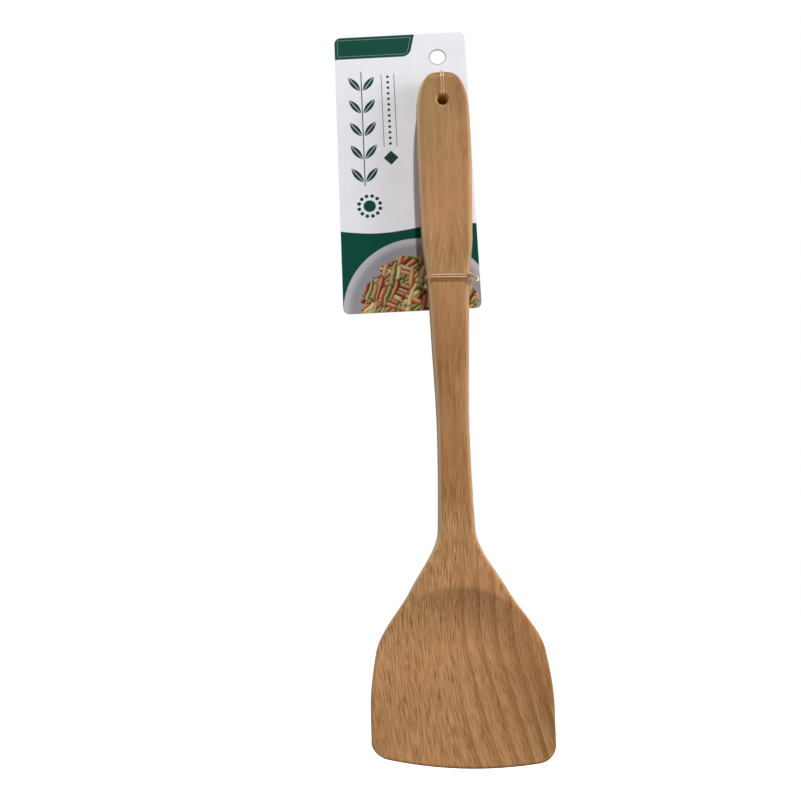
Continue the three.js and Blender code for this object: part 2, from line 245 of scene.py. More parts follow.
def vector_of(tree, x, y, z):
    return add_node(tree, "ShaderNodeCombineXYZ", {"X": x, "Y": y, "Z": z}).outputs[0]


def object_spot(tree):
    """Where a point lies on the object, in millimetres along X, Y and Z."""
    spot = tree.nodes.new("ShaderNodeTexCoord").outputs["Object"]
    parts = add_node(tree, "ShaderNodeSeparateXYZ", {"Vector": spot}).outputs
    return [Measure(part) / mm for part in parts]


def noise(tree, x, y, z, detail=2.0):
    """Soft noise of about 0.3 to 0.7, with one swing for each unit along X, Y and Z."""
    inputs = {"Vector": vector_of(tree, x, y, z), "Scale": 1.0, "Detail": detail}
    return Measure(add_node(tree, "ShaderNodeTexNoise", inputs).outputs["Fac"])


def surface_value(tree, name):
    """A value that the piece's mesh carries at each of its points."""
    return Measure(add_node(tree, "ShaderNodeAttribute", {}, attribute_name=name).outputs["Fac"])


def stepped(value, low, high):
    """0 where a measure is under low, 1 where it is over high, and a smooth step between them."""
    tree = value.socket.id_data
    inputs = {"Value": value, "From Min": low, "From Max": high}
    node = add_node(tree, "ShaderNodeMapRange", inputs, interpolation_type="SMOOTHSTEP")
    return Measure(node.outputs[0])


def colour(red, green, blue):
    """A colour as a screen shows it, 0 to 255, in the linear values that materials take."""
    shares = np.array([red, green, blue]) / 255
    linear = np.where(shares <= 0.04045, shares / 12.92, ((shares + 0.055) / 1.055) ** 2.4)
    return (*linear.tolist(), 1.0)


def mixed(tree, share, first, second):
    """The first colour, turning to the second as the share goes from 0 to 1."""
    node = tree.nodes.new("ShaderNodeMix")
    node.data_type = "RGBA"
    for slot, value in ((0, share), (6, first), (7, second)):
        feed(node.inputs[slot], value)
    return node.outputs[2]


def new_material(name, roughness, specular):
    """A material with its tree and its Principled shader."""
    material = bpy.data.materials.new(name)
    material.use_nodes = True
    shader = material.node_tree.nodes["Principled BSDF"]
    shader.inputs["Roughness"].default_value = roughness
    shader.inputs["Specular IOR Level"].default_value = specular
    return material, material.node_tree, shader


def raise_bumps(tree, shader, height, depth):
    """Bumps from a height of 0 to 1 over a depth in millimetres."""
    inputs = {"Height": height, "Distance": depth * mm, "Strength": 1.0}
    feed(shader.inputs["Normal"], add_node(tree, "ShaderNodeBump", inputs).outputs[0])


# Beech: fine streaks and silky fibres that lean to the right down the blade, with short dark flecks.
# Growth rings show as soft bands in the blade's right half, each ending in a darker line.
# Places are in millimetres: x to the right of the hang hole, and down from the grip's end.
pale_beech = colour(202, 159, 109)
dark_beech = colour(138, 93, 51)
rosy_beech = colour(184, 129, 86)
yellow_beech = colour(152, 124, 70)
fleck_brown = colour(78, 44, 20)
# End grain is darker; this brown is also painted as shade on the rounded grip end, the tip and the
# blade's edges
end_grain_and_shade_brown = colour(104, 66, 36)
# The pale rims' colour: mostly a painted highlight on the rounded edges, over a little sanding wear
worn_and_highlight_beech = colour(232, 200, 160)
bored_beech = colour(206, 162, 100)
lean_from, lean_softness, least_lean, most_lean = 306.0, 12.0, 0.13, 0.29
board_depth = 12.0
wander_width, wander_length, grain_wander, ring_wander = 24.0, 90.0, 2.4, 1.5
middle_tone, handle_figure, side_calm, ring_calm, tip_heart_and_shade_loss = 0.44, 0.26, 0.7, 0.4, 0.65
streak_width, streak_length, streak_weight = 0.62, 15.0, 1.9
fibre_width, fibre_length, fibre_weight = 0.45, 9.0, 4.4
band_width, band_length, handle_band, blade_band_loss = 3.2, 45.0, 0.8, 0.55
cloud_width, cloud_length = 30.0, 55.0
rosy_width, rosy_length, rosy_seed, rosy_rise = 24.0, 45.0, 7.0, 1500.0
fleck_width, fleck_length = 0.42, 7.0
ring_at, ring_pitch, ring_power, ring_line, ring_middle = 3.7, 7.7, 2.2, 0.92, 0.22
flame_at, flame_x, flame_rise, flame_pitch, flame_width = 106.0, 4.0, 5.0, 5.0, 9.0
grip_ring_x, grip_ring_turn, grip_ring_slope, grip_ring_wander = 6.5, 44.0, 0.45, 2.0
rim_highlight_power, left_rim_highlight, right_rim_highlight_loss, blade_rim_highlight_loss = 3.0, 0.85, 0.5, 0.8
least_roughness, fibre_roughness, fleck_roughness, wood_relief = 0.46, 0.3, 0.15, 0.05

oiled_beech, tree, shader = new_material("oiled_beech", roughness=0.5, specular=0.2)
x, y, z = object_spot(tree)
down = handle_top / mm - z
lean = stepped(x, -20, 26) * (most_lean - least_lean) + least_lean
upright_x = x - over_zero(down - lean_from, lean_softness) * lean
wander = noise(tree, x / wander_width, y / wander_width, z / wander_length) - 0.5
grain = upright_x + wander * grain_wander
depth = surface_value(tree, "depth")
into_board = depth * board_depth
on_side = 1 - abs(depth * 2 - 1)
on_blade = stepped(down, 205, 285)
figure = (on_blade * (1 - handle_figure) + handle_figure) * (1 - on_side * side_calm)
streak = noise(tree, grain / streak_width, into_board / streak_width, z / streak_length) - 0.5
fibre = noise(tree, grain / fibre_width, into_board / fibre_width, z / fibre_length, detail=3.0)
band = noise(tree, grain / band_width, into_board / band_width, z / band_length) - 0.5
cloud = noise(tree, x / cloud_width, y / cloud_width, z / cloud_length) - 0.5

# Each growth ring pales at its left and darkens to its line at the right
in_ring = ((upright_x + wander * ring_wander - ring_at) / ring_pitch).by("FRACT")
ring_dark = in_ring.by("POWER", ring_power) * (1 - stepped(in_ring, ring_line, 1.0))
ring_window = stepped(x, -4, 5) * stepped(down, 255, 285) * (1 - on_side)
ring = (ring_dark - ring_middle) * ring_window

# A flame of darker arches stands at the foot of the grip, where it narrows
flame_spot = down - flame_at - abs(x - flame_x) * flame_rise
flame = noise(tree, flame_spot / flame_pitch, x / flame_width, y / flame_width) - 0.5
flame = flame * (1 - stepped(abs(down - flame_at), 8, 26)) * (1 - on_side)

# One ring line runs down the grip and off its right edge, with darker wood to its right
grip_ring_at = (down - grip_ring_turn).at_least(0) * grip_ring_slope + grip_ring_x
past_grip_ring = stepped(x + wander * grip_ring_wander - grip_ring_at, -0.6, 2.4)
grip_ring = past_grip_ring * (1 - stepped(down, 50, 95))

# Broad tones: a darker right side of the blade, partly heartwood and partly painted shade on its right
# flank, a paler left edge, a darker neck and grip's end
heart_and_flank_shade = stepped(x, 8, 46) * stepped(down, 252, 284) * (1 - stepped(down, 316, 352) * tip_heart_and_shade_loss)
sap = (1 - stepped(x, -46, -22)) * stepped(down, 290, 320)
on_handle = 1 - stepped(down, 225, 255)
on_neck = stepped(down, 125, 155) * (1 - stepped(down, 225, 290))
at_end = 1 - stepped(down, 4, 75)

# The wood's tone is its middle one, and this is how much each of them darkens it
tone = (streak * streak_weight + (fibre - 0.5) * fibre_weight) * figure * (1 - ring_window * ring_calm)
tone = tone + band * (handle_band - on_blade * blade_band_loss) + middle_tone
darkening = (
    (ring, 0.9), (flame, 1.1), (cloud, 0.6), (heart_and_flank_shade, 0.48), (sap, -0.12),
    (grip_ring, 0.16), (on_handle, 0.11), (on_neck, 0.3), (at_end, 0.38),
)
for place, weight in darkening:
    tone = tone + place * weight

# Tints: rosy clouds, a yellower grip's end, thin flecks, rims paled by painted highlight over a little
# wear, end grain darkened also as painted shade, and the bore
rosy = noise(tree, x / rosy_width, y / rosy_width, z / rosy_length + rosy_seed) + down / rosy_rise
yellow = (1 - stepped(x, -11, 16)) * (1 - stepped(down, 22, 75))
fleck_spot = vector_of(tree, grain / fleck_width, into_board / fleck_width, z / fleck_length)
fleck_cells = add_node(tree, "ShaderNodeTexVoronoi", {"Vector": fleck_spot, "Scale": 1.0})
fleck_chance = add_node(tree, "ShaderNodeSeparateColor", {"Color": fleck_cells.outputs["Color"]})
fleck_shape = 1 - stepped(Measure(fleck_cells.outputs["Distance"]), 0.16, 0.38)
fleck = fleck_shape * stepped(Measure(fleck_chance.outputs[0]), 0.4, 0.78) * figure.squared()
# Painted highlight, over a little sanding wear, on the front's rounded rims and the bore's mouth: more
# on the left rim, which the lamps light less, and fainter down the blade
front_rim_highlight = surface_value(tree, "rim").by("POWER", rim_highlight_power) * (1 - stepped(depth, 0.3, 0.6))
front_rim_highlight = front_rim_highlight * (1 - stepped(down, 230, 300) * blade_rim_highlight_loss)
tints = (
    (stepped(rosy, 0.45, 0.75), 0.45, rosy_beech),
    (yellow, 0.6, yellow_beech),
    (fleck, 0.9, fleck_brown),
    (front_rim_highlight, left_rim_highlight - stepped(x, -6, 6) * right_rim_highlight_loss, worn_and_highlight_beech),
    # End grain darkens, and the step reaches onto the rounded grip end and tip edges as painted shade
    (stepped(surface_value(tree, "end_grain"), 0.4, 0.95), 0.75, end_grain_and_shade_brown),
    # Painted shade darkens the blade's rounded side edges, partly as exposed end grain
    (stepped(on_side, 0.15, 0.9) * stepped(down, 245, 300), 0.45, end_grain_and_shade_brown),
    (stepped(surface_value(tree, "bore"), 0.45, 0.95), 1.0, bored_beech),
)
wood = mixed(tree, tone.from_0_to_1(), pale_beech, dark_beech)
for place, share, tint in tints:
    wood = mixed(tree, place * share, wood, tint)
feed(shader.inputs["Base Color"], wood)
feed(shader.inputs["Roughness"], fibre * fibre_roughness + fleck * fleck_roughness + least_roughness)
raise_bumps(tree, shader, fibre * 0.5 - fleck * 0.5 + 0.5, wood_relief)

spatula_sizes = {
    "Blade width": blade_width,
    "Neck width": throat_width,
    "Scoop start": spatula_length - scoop_length,
    "Scoop arch radius": 37 * mm,
    "Scoop wall length": 28 * mm,
    "Scoop ridge round": 0.9 * mm,
    "Flank rise": 3.8 * mm,
    "Shoulder fall": 5 * mm,
    "Edge bow": 5 * mm,
    "Edge slant": 1.8 * mm,
    "Edge power": 2 / edge_squareness,
    "Bore radius": handle_hole_diameter / 2,
    "Bore mouth": handle_hole_mouth,
}
edge_steps = 9
face_steps = 60
around_steps = 2 * (face_steps + 2 * edge_steps)
edge_zone = 2 * edge_steps / (face_steps + 2 * edge_steps)
bore_sides = 56
bore_rings = 110
bore_overhang = 1 * mm
bore_flare_power = 1.5
bore_margin = 0.05 * mm


def new_geometry_tree(name, sizes):
    """A Geometry Nodes tree from one base to one piece, with a named input for each size."""
    tree = bpy.data.node_groups.new(name, "GeometryNodeTree")
    tree.interface.new_socket("Base", in_out="INPUT", socket_type="NodeSocketGeometry")
    for size in sizes:
        tree.interface.new_socket(size, in_out="INPUT", socket_type="NodeSocketFloat")
    tree.interface.new_socket("Piece", in_out="OUTPUT", socket_type="NodeSocketGeometry")
    given = tree.nodes.new("NodeGroupInput").outputs
    return tree, given["Base"], [Measure(given[size]) for size in sizes]


def made_by(tree, step, inputs, **settings):
    """What one step of a Geometry Nodes tree makes from its inputs."""
    return add_node(tree, "GeometryNode" + step, inputs, **settings).outputs[0]


def round_bar(tree, line, sides, radius):
    """A closed round bar along a line, with a radius that may change on the way."""
    ring = made_by(tree, "CurvePrimitiveCircle", {"Resolution": sides})
    inputs = {"Curve": line, "Profile Curve": ring, "Scale": radius, "Fill Caps": True}
    return made_by(tree, "CurveToMesh", inputs)


def end_tree(tree, geometry, material):
    """Shades the piece smooth, makes it real geometry, gives it its material and hands it out."""
    smooth = made_by(tree, "SetShadeSmooth", {"Geometry": geometry})
    real = made_by(tree, "RealizeInstances", {"Geometry": smooth})
    finish = made_by(tree, "SetMaterial", {"Geometry": real, "Material": material})
    feed(tree.nodes.new("NodeGroupOutput").inputs[0], finish)


def named_value(tree, name):
    return Measure(made_by(tree, "InputNamedAttribute", {"Name": name}))


def stored(tree, geometry, name, value):
    inputs = {"Geometry": geometry, "Name": name, "Value": value}
    return made_by(tree, "StoreNamedAttribute", inputs)


def placed(name, data):
    """A new object in the scene, at the origin."""
    thing = bpy.data.objects.new(name, data)
    bpy.context.scene.collection.objects.link(thing)
    return thing


def finished_mesh(maker):
    """The maker's finished shape as a plain mesh, and the maker cleared away."""
    graph = bpy.context.evaluated_depsgraph_get()
    mesh = bpy.data.meshes.new_from_object(maker.evaluated_get(graph), depsgraph=graph)
    maker.modifiers.clear()
    bpy.data.objects.remove(maker)
    return mesh


def plain_piece(name, base, tree, sizes):
    """Runs a tree on a base and keeps the result as a plain mesh object."""
    maker = placed(name + "_maker", base)
    modifier = maker.modifiers.new(tree.name, "NODES")
    modifier.node_group = tree
    for socket in tree.interface.items_tree:
        if socket.name in sizes:
            modifier[socket.identifier] = sizes[socket.name]
    mesh = finished_mesh(maker)
    mesh.name = name
    while None in mesh.materials[:]:
        mesh.materials.pop(index=mesh.materials[:].index(None))
    return placed(name, mesh)


tree, base, spatula_measures = new_geometry_tree("spatula_sweep", spatula_sizes)
(wide, neck, scoop_start, arch_radius, wall_length, ridge_round, flank_rise,
 shoulder_fall, edge_bow, edge_slant, edge_power, bore_radius, bore_mouth) = spatula_measures

# A ring swept down the middle line, each of whose points knows its place round the section
ring = made_by(tree, "CurvePrimitiveCircle", {"Resolution": around_steps})
place_in_ring = 1 - Measure(made_by(tree, "InputIndex", {})) / around_steps
ring = stored(tree, ring, "turn", place_in_ring)
line = made_by(tree, "MeshToCurve", {"Mesh": base})
sweep_inputs = {"Curve": line, "Profile Curve": ring, "Fill Caps": True}
sweep = made_by(tree, "CurveToMesh", sweep_inputs)

# The section: a flat front and back with rounded edges, from the right edge over the front
turn = named_value(tree, "turn")
sideways = 1 - (turn * 2).by("PINGPONG", 1) * 2
into_edge = ((abs(sideways) - (1 - edge_zone)) / edge_zone).from_0_to_1()
flat_share = (abs(sideways) / (1 - edge_zone)).at_most(1)
rounding = named_value(tree, "edge_round")
flat_half = named_value(tree, "half_width") - rounding
edge_reach = (into_edge * quarter_turn).by("SINE").by("POWER", edge_power)
reach = flat_half * flat_share + rounding * edge_reach
across = reach * sideways.by("SIGN")
fullness = (into_edge * quarter_turn).by("COSINE").at_least(0).by("POWER", edge_power)
front_or_back = 1 - turn.by("GREATER_THAN", 0.5) * 2

# Heights of the front and the back over the handle's flat back
spread = across / (wide / 2)
bulge = spread.squared() * named_value(tree, "cross_curve")
behind = named_value(tree, "back") + named_value(tree, "back_round") * bulge
outward = ((abs(across) - neck / 2) / (wide / 2 - neck / 2)).from_0_to_1()
face = named_value(tree, "face") - shoulder_fall * outward.squared()
floor_height = named_value(tree, "floor") + flank_rise * bulge
station = named_value(tree, "station")
past_ridge = station - scoop_start - across.squared() / (arch_radius * 2)
up_wall = (1 - over_zero(past_ridge, ridge_round) / wall_length).from_0_to_1()
front = floor_height + (face - floor_height) * up_wall.squared()
half_depth = (front - behind) / 2
height = (front + behind) / 2 + half_depth * fullness * front_or_back * named_value(tree, "end_share")

bow = named_value(tree, "down_blade").squared() * (edge_bow * spread.squared() - edge_slant * spread)
shaped = vector_of(tree, across + spatula_x, handle_back - height, handle_top - station + bow)
blank = made_by(tree, "SetPosition", {"Geometry": sweep, "Position": shaped})
blank = stored(tree, blank, "rim", (into_edge * math.pi).by("SINE"))
blank = stored(tree, blank, "depth", (1 - fullness * front_or_back) / 2)
facing = tree.nodes.new("GeometryNodeInputNormal").outputs["Normal"]
facing_end = abs(Measure(add_node(tree, "ShaderNodeSeparateXYZ", {"Vector": facing}).outputs["Z"]))
blank = stored(tree, blank, "end_grain", facing_end)

# The bore: a drill with smooth flares at both mouths
bore_front = handle_back - float(board_thickness(handle_hole_from_end))
bore_z = handle_top - handle_hole_from_end
drill_ends = {
    "Start": (spatula_x, bore_front - bore_overhang, bore_z),
    "End": (spatula_x, handle_back + bore_overhang, bore_z),
}
drill_line = made_by(tree, "CurvePrimitiveLine", drill_ends)
drill_line = made_by(tree, "ResampleCurve", {"Curve": drill_line, "Count": bore_rings})
along_drill = Measure(tree.nodes.new("GeometryNodeSplineParameter").outputs["Length"]) - bore_overhang
depth = along_drill.at_most(handle_back - bore_front - along_drill)
flare = (1 - depth / bore_mouth).at_least(0).by("POWER", bore_flare_power)
drill = round_bar(tree, drill_line, bore_sides, bore_radius + bore_mouth * flare)
finished = made_by(tree, "MeshBoolean", {"Mesh 1": blank, "Mesh 2": drill}, solver="EXACT")

# The hole's own surface values: a rounded mouth that takes the painted highlight and a wall, known by
# their distance from the bore
place = made_by(tree, "InputPosition", {})
place = add_node(tree, "ShaderNodeSeparateXYZ", {"Vector": place}).outputs
bore_x = Measure(place["X"]) - spatula_x
bore_up = Measure(place["Z"]) - bore_z
inside_mouth = bore_radius + bore_mouth - length_of(bore_x, bore_up)
wall_share = (inside_mouth / bore_mouth).from_0_to_1()
in_hole = inside_mouth.by("GREATER_THAN", -bore_margin)
finished = stored(tree, finished, "bore", wall_share)
# The bore's rounded mouth takes the rims' painted highlight
mouth_highlight = (1 - wall_share) * in_hole
finished = stored(tree, finished, "rim", named_value(tree, "rim") * (1 - in_hole) + mouth_highlight)
for value_name in ("depth", "end_grain"):
    finished = stored(tree, finished, value_name, named_value(tree, value_name) * (1 - in_hole))
for value_name in ("turn", *middle_line_values):
    inputs = {"Geometry": finished, "Name": value_name}
    finished = made_by(tree, "RemoveAttribute", inputs)
end_tree(tree, finished, oiled_beech)

spatula = plain_piece("beech_spatula", middle_line, tree, spatula_sizes)
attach(spatula, "root")
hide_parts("spatula")

# The hang card: stiff white board, coated and printed on its front, bare on its back.
# It is die-cut with round corners and a punched hang hole. The two cord ties pierce it
# beside the handle, so their routes are laid out here first.
card_thickness = 0.6 * mm
card_bevel = 0.08 * mm
card_width = 74.5 * mm
card_height = 164 * mm
card_right = 16.1 * mm
card_left = card_right - card_width
card_top = 15 * mm
card_bottom = card_top - card_height
card_corner_radius = 3.5 * mm
card_corner_steps = 12
card_lean = math.radians(1.3)
hang_hole_radius = 4.4 * mm
hang_hole_steps = 64
pierce_room = 0.1 * mm
pierce_steps = 20
weld_distance = 0.002 * mm
cord_radius = 0.4 * mm
cord_pitch = 1.3 * mm
cord_turns = 2
cord_bend = 1.0 * mm
cord_corner_share = 0.7
cord_corner_steps = 12
cord_clearance = 0.06 * mm
cord_stand_off = cord_radius + cord_clearance
behind_card = 0.7 * mm
neck_tie_from_end = 120 * mm
neck_tie_z = handle_top - neck_tie_from_end
neck_tie_top = neck_tie_from_end - cord_pitch * cord_turns / 2 - cord_radius
neck_tie_side = float(half_width(neck_tie_top)) + cord_stand_off
neck_tie_front = handle_back - float(board_thickness(neck_tie_top)) - cord_stand_off
neck_tie_round = float(edge_round(neck_tie_from_end)) * cord_corner_share + cord_stand_off
neck_left = spatula_x - neck_tie_side
neck_right = spatula_x + neck_tie_side
top_tie_top = handle_top + cord_stand_off
top_tie_front = bore_front - cord_stand_off
top_tie_end_front = handle_back - float(board_thickness(grip_end_edge)) - cord_stand_off
top_tie_round = grip_end_edge + cord_stand_off
top_tie_in_hole = bore_z + handle_hole_diameter / 2 - cord_stand_off


def rounded_loop(corners):
    """A closed loop of straight runs and round corners, from the middle of its first side."""
    places = [np.array(place) for place, radius in corners]
    start = (places[-1] + places[0]) / 2
    points = [start]
    for i, (place, radius) in enumerate(corners):
        inward = places[i - 1] - places[i]
        onward = places[(i + 1) % len(places)] - places[i]
        inward = inward / np.linalg.norm(inward)
        onward = onward / np.linalg.norm(onward)
        centre = places[i] + radius * (inward + onward)
        for angle in np.linspace(0, quarter_turn, cord_corner_steps + 1):
            points.append(centre - radius * (onward * math.cos(angle) + inward * math.sin(angle)))
    points.append(start)
    return np.array(points)


def from_first_corner(loop):
    """The same loop, started at the middle of its first corner."""
    middle = 1 + cord_corner_steps // 2
    return np.concatenate([loop[middle:-1], loop[:middle + 1]])


def wound(loop):
    """The loop wound side by side, as one open route of (place in the plane, place across it)."""
    lengths = np.concatenate([[0], np.cumsum(np.linalg.norm(np.diff(loop, axis=0), axis=1))])
    share = lengths / lengths[-1]
    turns = []
    for turn_number in range(cord_turns):
        first = min(turn_number, 1)
        across_loop = cord_pitch * (turn_number + share[first:] - cord_turns / 2)
        turns.append(np.column_stack([loop[first:], across_loop]))
    return np.concatenate(turns)


top_loop = rounded_loop([
    ((top_tie_in_hole, behind_card), cord_bend),
    ((top_tie_in_hole, top_tie_front), cord_bend),
    ((top_tie_top, top_tie_end_front), top_tie_round),
    ((top_tie_top, behind_card), cord_bend),
])
top_places = [(spatula_x + aside, depth_in, level) for level, depth_in, aside in wound(top_loop)]
top_route = np.array(top_places)
neck_loop = from_first_corner(rounded_loop([
    ((neck_right, neck_tie_front), neck_tie_round),
    ((neck_left, neck_tie_front), neck_tie_round),
    ((neck_left, behind_card), cord_bend),
    ((neck_right, behind_card), cord_bend),
]))
neck_places = [(place, depth_in, neck_tie_z + aside) for place, depth_in, aside in wound(neck_loop)]
neck_route = np.array(neck_places)


def arc(centre, radius, start, end, steps):
    """Points on an arc about (x, z), from one angle to another in quarter turns."""
    angles = np.linspace(start, end, steps + 1) * quarter_turn
    return np.stack([centre[0] + radius * np.cos(angles), centre[1] + radius * np.sin(angles)], axis=1)


def card_outline():
    radius = card_corner_radius
    left_x, right_x = card_left + radius, card_right - radius
    top_z, bottom_z = card_top - radius, card_bottom + radius
    centres = ((right_x, top_z), (left_x, top_z), (left_x, bottom_z), (right_x, bottom_z))
    corners = [arc(centre, radius, k, k + 1, card_corner_steps) for k, centre in enumerate(centres)]
    cosine, sine = math.cos(card_lean), math.sin(card_lean)
    return np.concatenate(corners) @ np.array([[cosine, sine], [-sine, cosine]])


def pierced_by(route):
    """Small round holes where a cord's route passes the middle of the card's thickness."""
    holes = []
    for start, end in zip(route[:-1], route[1:]):
        before = start[1] + card_thickness / 2
        after = end[1] + card_thickness / 2
        if before * after < 0:
            place = start + (end - start) * before / (before - after)
            pierced = arc((place[0], place[2]), cord_radius + pierce_room, 0, 4, pierce_steps)
            holes.append(pierced[:-1])
    return holes


card_cuts = [card_outline(), arc((0, 0), hang_hole_radius, 0, 4, hang_hole_steps)[:-1]]
card_cuts += pierced_by(top_route) + pierced_by(neck_route)
die_line = bpy.data.curves.new("card_die_line", "CURVE")
die_line.dimensions = "2D"
die_line.fill_mode = "BOTH"
die_line.extrude = card_thickness / 2 - card_bevel
die_line.bevel_depth = card_bevel
die_line.bevel_resolution = 2
die_line.offset = -card_bevel
for cut in card_cuts:
    spline = die_line.splines.new("POLY")
    spline.points.add(len(cut) - 1)
    for point, (x, z) in zip(spline.points, cut):
        point.co = (x, z, 0, 1)
    spline.use_cyclic_u = True

card_mesh = finished_mesh(placed("card_maker", die_line))
upright = Matrix.Rotation(quarter_turn, 4, "X")
card_mesh.transform(Matrix.Translation((0, -card_thickness / 2, 0)) @ upright)
shell = bmesh.new()
shell.from_mesh(card_mesh)
bmesh.ops.remove_doubles(shell, verts=shell.verts, dist=weld_distance)
bmesh.ops.recalc_face_normals(shell, faces=shell.faces)

# A fine mottle that paper, bare board and elastic cord share: two tones and a height from one noise
mottle = bpy.data.node_groups.new("fine_mottle", "ShaderNodeTree")
mottle_sockets = [
    ("Spot", "INPUT", "Vector"), ("Detail", "INPUT", "Float"), ("Pale", "INPUT", "Color"),
    ("Deep", "INPUT", "Color"), ("Tone", "OUTPUT", "Color"), ("Height", "OUTPUT", "Float"),
]
for socket_name, direction, kind in mottle_sockets:
    mottle.interface.new_socket(socket_name, in_out=direction, socket_type="NodeSocket" + kind)
given = mottle.nodes.new("NodeGroupInput").outputs
mottle_inputs = {"Vector": given["Spot"], "Scale": 1.0, "Detail": given["Detail"]}
mottle_height = Measure(add_node(mottle, "ShaderNodeTexNoise", mottle_inputs).outputs["Fac"])
mottle_tone = mixed(mottle, stepped(mottle_height, 0.35, 0.65), given["Pale"], given["Deep"])
mottle_end = mottle.nodes.new("NodeGroupOutput")
feed(mottle_end.inputs["Tone"], mottle_tone)
feed(mottle_end.inputs["Height"], mottle_height)


def mottled(tree, spot, detail, pale, deep):
    """The fine mottle placed in a material: its colour and its height."""
    inputs = {"Spot": spot, "Detail": detail, "Pale": pale, "Deep": deep}
    node = add_node(tree, "ShaderNodeGroup", inputs, node_tree=mottle)
    return node.outputs["Tone"], Measure(node.outputs["Height"])


# The coated white front: a green tab, a leafy sprig, a column of dots and a plate of sliced vegetables
paper_white = colour(241, 240, 245)
paper_shade = colour(237, 237, 242)
tab_green = colour(10, 71, 59)
ink_green = colour(30, 62, 54)
print_edge = 0.25
hole_ring_grey = colour(138, 138, 140)

printed_card, tree, shader = new_material("printed_card", roughness=0.5, specular=0.05)
x, y, z = object_spot(tree)
right = x * math.cos(card_lean) + z * math.sin(card_lean) - card_left / mm
under = x * math.sin(card_lean) - z * math.cos(card_lean) + card_top / mm


def inked(distance):
    """1 inside a printed shape, 0 outside it, from its distance in millimetres."""
    return (0.5 - distance / print_edge).from_0_to_1()


def span_of(value, low, high):
    """Distance to a span between two values: less than 0 inside it."""
    return abs(value - (low + high) / 2) - (high - low) / 2


paper_spot = vector_of(tree, x / 9, y, z / 9)
paper, paper_height = mottled(tree, paper_spot, 4.0, paper_white, paper_shade)

# The tab: a green box from the top left corner, with a slanted end, a round corner and a pin line
tab_width, tab_height, tab_corner, tab_slant = 42.5, 13.6, 4.0, 0.24
tab_inset, pin_line_half, pin_line_share = 1.7, 0.18, 0.22
tab_side = (right + (under - tab_height) * tab_slant - tab_width + tab_corner).at_least(0)
tab_foot = (under - tab_height + tab_corner).at_least(0)
tab = length_of(tab_side, tab_foot) - tab_corner
tab_frame = tab.at_least(0 - right).at_least(0 - under)
front_print = mixed(tree, inked(tab), paper, tab_green)
pin_line = abs(tab_frame + tab_inset) - pin_line_half
front_print = mixed(tree, inked(pin_line) * pin_line_share, front_print, paper)

# The sprig: a stem with pairs of leaves, each a split lens that leans outwards and up
sprig_right, sprig_top, sprig_bottom = 14.5, 22.0, 91.0
stem_half, leaf_pitch, leaf_length, leaf_half_width = 0.28, 13.8, 11.0, 1.9
leaf_gap, leaf_start, leaf_lean, vein_half = 0.6, 2.0, math.radians(38), 0.14
from_stem = abs(right - sprig_right)
leaf_out = from_stem - leaf_gap
leaf_up = leaf_pitch - leaf_start - (under - sprig_top).by("FLOORED_MODULO", leaf_pitch)
leaf_along = leaf_out * math.sin(leaf_lean) + leaf_up * math.cos(leaf_lean)
leaf_across = leaf_out * math.cos(leaf_lean) - leaf_up * math.sin(leaf_lean)
leaf_share = leaf_along / leaf_length
leaf = abs(leaf_across) - leaf_share * (1 - leaf_share) * 4 * leaf_half_width
split_leaf = leaf.at_least(vein_half - abs(leaf_across))
sprig = split_leaf.at_most(from_stem - stem_half).at_least(span_of(under, sprig_top, sprig_bottom))
front_print = mixed(tree, inked(sprig), front_print, ink_green)

# The column of dots between two thin rules, with a small diamond under it
dots_right, dots_top, dots_bottom, dot_pitch, dot_radius = 29.5, 24.0, 68.2, 3.4, 0.8
rule_out, rule_half, diamond_under, diamond_half = 3.6, 0.17, 75.0, 4.2
from_dots = abs(right - dots_right)
dot_along = (under - dots_top).by("FLOORED_MODULO", dot_pitch) - dot_pitch / 2
dots = (length_of(from_dots, dot_along) - dot_radius).at_least(span_of(under, dots_top, dots_bottom))
rules = (abs(from_dots - rule_out) - rule_half).at_least(span_of(under, dots_top, dots_bottom))
diamond = from_dots + abs(under - diamond_under) - diamond_half
front_print = mixed(tree, inked(dots.at_most(rules).at_most(diamond)), front_print, ink_green)

# The rosette: a green disc in a ring of petals
rosette_right, rosette_under, rosette_radius, petal_count = 16.5, 103.0, 6.0, 12
disc_radius, petal_radius = 3.4, 1.05
rosette_x = right - rosette_right
rosette_y = under - rosette_under
from_rosette = length_of(rosette_x, rosette_y)
petal_turn = 2 * math.pi / petal_count
petal_angle = rosette_y.by("ARCTAN2", rosette_x).by("FLOORED_MODULO", petal_turn) - petal_turn / 2
petal_x = from_rosette * petal_angle.by("COSINE") - rosette_radius
petals = length_of(petal_x, from_rosette * petal_angle.by("SINE")) - petal_radius
rosette = petals.at_most(from_rosette - disc_radius)
front_print = mixed(tree, inked(rosette), front_print, tab_green)

# The picture: a green ground with a wavy upper edge, a pale plate on it and a heap of vegetable strips
plate_grey = colour(148, 145, 150)
plate_rim = colour(186, 184, 189)
gap_brown = colour(44, 26, 14)
strip_shine = colour(236, 212, 166)
strip_colours = [
    (0.0, colour(182, 98, 52)), (0.22, colour(108, 112, 44)), (0.4, colour(176, 128, 88)),
    (0.62, colour(206, 180, 118)), (0.8, colour(150, 62, 32)),
]
ground_top, ground_wave, ground_swing = 117.0, 13.0, 2.0
plate_right, plate_under, plate_radius, plate_lip = 41.0, 164.0, 41.0, 6.0
heap_radius, heap_unevenness, heap_edge_size = 36.0, 9.0, 7.0
strip_length, strip_width, strip_bend, strip_bend_size = 12.0, 2.5, 3.0, 9.0
strip_unevenness, top_strip_chance = 0.62, 0.58
shine_span, shine_share = (0.15, -0.4), 0.42
shade_span, shade_share = (-0.1, 0.5), 0.65
gap_span, gap_share = (0.09, 0.0), 0.7
ground = ground_top - under + (right / ground_wave).by("SINE") * ground_swing
